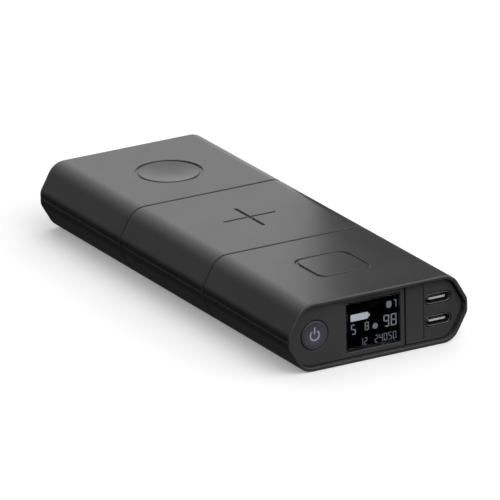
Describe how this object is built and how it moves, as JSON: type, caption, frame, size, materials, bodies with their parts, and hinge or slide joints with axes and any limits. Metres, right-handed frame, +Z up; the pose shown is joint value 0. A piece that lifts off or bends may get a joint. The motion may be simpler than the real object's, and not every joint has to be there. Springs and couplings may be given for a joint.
{
  "type": "portable battery pack",
  "caption": "Slim flat battery pack with leaning flanks, divided top face with recessed marks, and a recessed end plate holding a display, a press button and stacked sockets.",
  "frame": {"origin": "middle of the underside, on the surface that the pack lies on", "axes": "+Z up through the broad faces, +Y along the length away from the display end, +X across the width, to the right when the display end is looked at"},
  "size_m": [0.0634, 0.158, 0.022],
  "materials": {
    "casing_plastic": "satin charcoal moulded plastic with a fine grain",
    "plate_plastic": "satin charcoal moulded plastic",
    "button_plastic": "satin charcoal plastic with a lit power mark",
    "window_glass": "clear smoked lens",
    "panel_glass": "black display glass",
    "inner_plastic": "matt black moulding",
    "chip_plastic": "matt black chip package",
    "board_laminate": "green lacquered board",
    "socket_steel": "drawn bright steel",
    "screw_steel": "plated steel",
    "ferrite": "matt grey pressed powder",
    "capacitor_can": "drawn can",
    "cell_sleeve": "blue shrink sleeve over a metal can",
    "nickel": "nickel strip",
    "contact_gold": "gold plated pads",
    "ribbon": "amber film",
    "white_plastic": "off-white moulding",
    "red_insulation": "red sleeve",
    "black_insulation": "black sleeve"
  },
  "bodies": {
    "case": {"upper_shell": "casing_plastic", "lower_shell": "casing_plastic", "front_plate": "plate_plastic", "port_plate": "plate_plastic", "rear_plate": "plate_plastic", "display_window": "window_glass", "display_panel": "panel_glass", "display_carrier": "inner_plastic", "button_switch": "inner_plastic", "usb_tongue_upper": "inner_plastic", "usb_tongue_lower": "inner_plastic", "board_link": "inner_plastic", "cell_holder_front": "inner_plastic", "cell_holder_middle": "inner_plastic", "cell_holder_rear": "inner_plastic", "controller_chip": "chip_plastic", "charger_chip": "chip_plastic", "front_board": "board_laminate", "main_board": "board_laminate", "rear_contact_board": "board_laminate", "usb_shell_upper": "socket_steel", "usb_shell_lower": "socket_steel", "board_screw_front": "screw_steel", "board_screw_middle": "screw_steel", "board_screw_rear": "screw_steel", "power_inductor_front": "ferrite", "power_inductor_rear": "ferrite", "capacitor_1": "capacitor_can", "capacitor_2": "capacitor_can", "capacitor_3": "capacitor_can", "cell_front_left": "cell_sleeve", "cell_front_right": "cell_sleeve", "cell_rear_left": "cell_sleeve", "cell_rear_right": "cell_sleeve", "cell_strip_front": "nickel", "cell_strip_rear": "nickel", "cell_link_left": "nickel", "cell_link_right": "nickel", "dock_contact_1": "contact_gold", "dock_contact_2": "contact_gold", "dock_contact_3": "contact_gold", "dock_contact_4": "contact_gold", "display_flex": "ribbon", "battery_connector": "white_plastic", "button_light": "white_plastic", "battery_lead_positive": "red_insulation", "contact_lead_1": "red_insulation", "battery_lead_negative": "black_insulation", "contact_lead_2": "black_insulation"},
    "button": {"power_button": "button_plastic", "switch_plunger": "inner_plastic"}
  },
  "joints": [
    {"name": "power_button_press", "type": "slide", "parent": "case", "child": "button", "axis": [0, 1, 0], "range_m": [0, 0.0005], "stiffness_N_per_m": 600, "springref_m": -0.0015}
  ]
}
